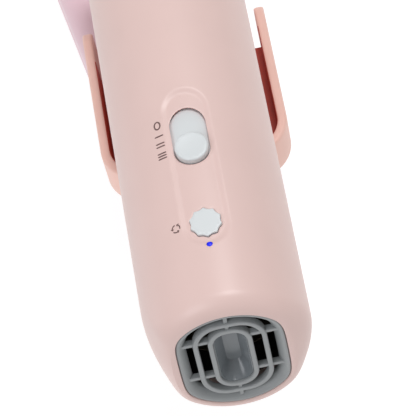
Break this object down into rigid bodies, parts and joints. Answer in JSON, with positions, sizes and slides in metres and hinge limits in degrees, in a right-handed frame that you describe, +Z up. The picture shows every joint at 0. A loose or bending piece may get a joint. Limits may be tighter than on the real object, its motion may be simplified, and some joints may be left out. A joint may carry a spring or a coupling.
{
  "type": "folding hair dryer",
  "caption": "Folding hair dryer: round barrel with slanted outlet grille, slide switch and push button, on a cradle that swings over a tapered handle.",
  "frame": {"origin": "on the handle's pivot axis, at the handle's flat underside", "axes": "+Z up through the controls, -Y is the way the air leaves, +X to the right when the outlet faces the viewer"},
  "size_m": [0.0834, 0.259, 0.0994],
  "materials": {
    "barrel_pink": "satin moulded plastic",
    "grille_grey": "heat-resistant plastic, satin",
    "cup_grey": "glossy",
    "mica": "mica sheet",
    "heating_wire": "drawn wire",
    "sensor_metal": "plated",
    "black_plastic": "moulded",
    "steel": "turned",
    "screw_steel": "zinc plated",
    "mesh_steel": "woven",
    "rubber_black": "matt",
    "fan_white": "moulded",
    "board_green": "solder mask",
    "control_white": "satin",
    "lamp_blue": "clear, lit blue",
    "cradle_salmon": "satin moulded plastic",
    "handle_lilac": "satin moulded plastic",
    "capacitor_amber": "potted film",
    "gland_grey": "soft moulded",
    "wire_red": "insulated wire"
  },
  "bodies": {
    "barrel": {"barrel_left_shell": "barrel_pink", "barrel_right_shell": "barrel_pink", "outlet_grille": "grille_grey", "outlet_cup": "cup_grey", "heater_tube": "mica", "heater_boards": "mica", "heater_coil": "heating_wire", "thermostat": "sensor_metal", "thermal_fuse": "sensor_metal", "fan_housing": "black_plastic", "motor_body": "steel", "motor_mounts": "rubber_black", "rear_collar": "grille_grey", "filter_mesh": "mesh_steel", "control_board": "board_green", "speed_switch": "black_plastic", "button_switch": "black_plastic", "button_spring": "steel", "lamp_lens": "lamp_blue", "barrel_screws": "screw_steel", "hinge_cradle": "cradle_salmon", "cradle_screws": "screw_steel", "pivot_tube": "steel", "pivot_nut": "steel"},
    "fan": {"motor_shaft": "steel", "fan_impeller": "fan_white"},
    "filter": {"filter_cover": "barrel_pink"},
    "slider": {"speed_slider": "control_white", "slider_carrier": "black_plastic"},
    "button": {"mode_button": "control_white"},
    "handle": {"handle_top_shell": "handle_lilac", "handle_bottom_shell": "handle_lilac", "pivot_cap": "cradle_salmon", "handle_screws": "screw_steel", "power_board": "board_green", "capacitor": "capacitor_amber", "ion_generator": "black_plastic", "cord_gland": "gland_grey", "cord_clamp": "black_plastic", "swing_washer": "fan_white", "wave_washer": "steel", "supply_wires": "wire_red"}
  },
  "joints": [
    {"name": "handle_swing", "type": "hinge", "parent": "barrel", "child": "handle", "pos_m": [0, 0, 0], "axis": [0, 0, 1], "range_deg": [-15, 75]},
    {"name": "speed_slide", "type": "slide", "parent": "barrel", "child": "slider", "axis": [0, 1, 0], "range_m": [0, 0.0106]},
    {"name": "mode_press", "type": "slide", "parent": "barrel", "child": "button", "axis": [0, 0, -1], "range_m": [0, 0.0008], "stiffness_N_per_m": 400, "springref_m": -0.0008, "deforming": ["button_spring"]},
    {"name": "fan_spin", "type": "hinge", "parent": "barrel", "child": "fan", "pos_m": [0, 0, 0.0705], "axis": [0, 1, 0], "continuous": true},
    {"name": "filter_twist", "type": "hinge", "parent": "barrel", "child": "filter", "pos_m": [0, 0, 0.0705], "axis": [0, 1, 0], "range_deg": [0, 30]}
  ]
}
